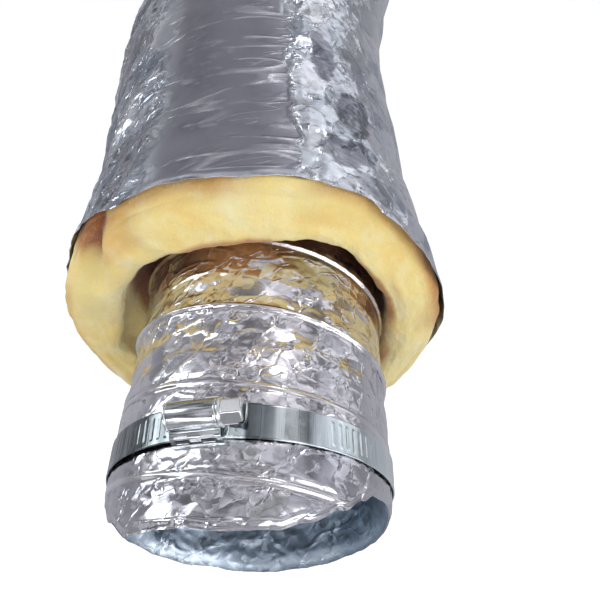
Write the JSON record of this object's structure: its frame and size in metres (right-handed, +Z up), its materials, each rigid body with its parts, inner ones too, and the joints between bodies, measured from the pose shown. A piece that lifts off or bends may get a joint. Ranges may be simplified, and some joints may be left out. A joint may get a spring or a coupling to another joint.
{
  "type": "insulated flexible air duct",
  "caption": "Insulated flexible air duct: wire-helix foil core, glass-wool blanket and crinkled foil jacket, with a worm-drive band clamp on the bare core end.",
  "frame": {"origin": "centre of the core's mouth, on the duct's axis", "axes": "+Y runs along the duct from the mouth to the rear end, +Z up, +X to the right when looking into the mouth"},
  "size_m": [0.168, 0.78, 0.168],
  "materials": {
    "core_inner_foil": "bright, crumpled foil",
    "core_outer_foil": "bright, crumpled foil",
    "spring_wire": "drawn spring-steel wire",
    "glass_wool": "matt glass wool, resin-yellow",
    "jacket_foil": "crinkled foil laminate",
    "clamp_steel": "rolled stainless strip, bright",
    "screw_steel": "zinc-plated, bright"
  },
  "bodies": {
    "rear_section": {"core_inner_ply_rear": "core_inner_foil", "helix_wire_rear": "spring_wire", "core_outer_ply_rear": "core_outer_foil", "insulation_rear": "glass_wool", "jacket_rear": "jacket_foil"},
    "mid_rear_section": {"core_inner_ply_mid_rear": "core_inner_foil", "helix_wire_mid_rear": "spring_wire", "core_outer_ply_mid_rear": "core_outer_foil", "insulation_mid_rear": "glass_wool", "insulation_stretch": "glass_wool", "jacket_mid_rear": "jacket_foil"},
    "mid_front_section": {"core_inner_ply_mid_front": "core_inner_foil", "helix_wire_mid_front": "spring_wire", "core_outer_ply_mid_front": "core_outer_foil", "insulation_mid_front": "glass_wool", "insulation_lift": "glass_wool", "jacket_mid_front": "jacket_foil"},
    "front_section": {"core_inner_ply_front": "core_inner_foil", "helix_wire_front": "spring_wire", "core_outer_ply_mouth": "core_outer_foil", "core_outer_ply_front": "core_outer_foil", "insulation_front": "glass_wool", "insulation_swing": "glass_wool", "jacket_front": "jacket_foil"},
    "sleeve_cuff": {"insulation_cuff": "glass_wool", "insulation_gather": "glass_wool", "jacket_cuff": "jacket_foil"},
    "clamp": {"clamp_band": "clamp_steel", "clamp_saddle": "clamp_steel", "clamp_housing": "clamp_steel"},
    "band_tongue": {"clamp_band_tongue": "clamp_steel"},
    "worm_screw": {"clamp_screw": "screw_steel"}
  },
  "joints": [
    {"name": "duct_stretch", "type": "slide", "parent": "rear_section", "child": "mid_rear_section", "axis": [0, -1, 0], "range_m": [-0.09, 0.015], "deforming": ["insulation_stretch", "core_inner_ply_rear", "helix_wire_rear", "core_outer_ply_rear", "jacket_rear", "core_inner_ply_mid_rear", "helix_wire_mid_rear", "core_outer_ply_mid_rear", "jacket_mid_rear"]},
    {"name": "duct_lift", "type": "hinge", "parent": "mid_rear_section", "child": "mid_front_section", "pos_m": [0, 0.482, 0], "axis": [1, 0, 0], "range_deg": [-40, 40], "deforming": ["insulation_lift", "core_inner_ply_mid_front", "helix_wire_mid_front", "core_outer_ply_mid_front", "jacket_mid_front"]},
    {"name": "duct_swing", "type": "hinge", "parent": "mid_front_section", "child": "front_section", "pos_m": [0, 0.342, 0], "axis": [0, 0, 1], "range_deg": [-40, 40], "deforming": ["insulation_swing", "core_inner_ply_front", "helix_wire_front", "core_outer_ply_front", "jacket_front"]},
    {"name": "sleeve_slide", "type": "slide", "parent": "front_section", "child": "sleeve_cuff", "axis": [0, -1, 0], "range_m": [-0.045, 0.045], "deforming": ["insulation_gather", "jacket_cuff"]},
    {"name": "clamp_slide", "type": "slide", "parent": "front_section", "child": "clamp", "axis": [0, -1, 0], "range_m": [-0.016, 0.021]},
    {"name": "screw_turn", "type": "hinge", "parent": "clamp", "child": "worm_screw", "pos_m": [-0.0149, 0.0345, 0.0576], "axis": [-0.9681, 0, -0.2504], "range_deg": [-1260, 1440]},
    {"name": "tongue_travel", "type": "hinge", "parent": "clamp", "child": "band_tongue", "pos_m": [0, 0.0345, 0], "axis": [0, 1, 0], "range_deg": [-11.2, 12.8]}
  ],
  "couplings": [
    {"joint": "tongue_travel", "follows": "screw_turn", "ratio": 0.0087209}
  ]
}
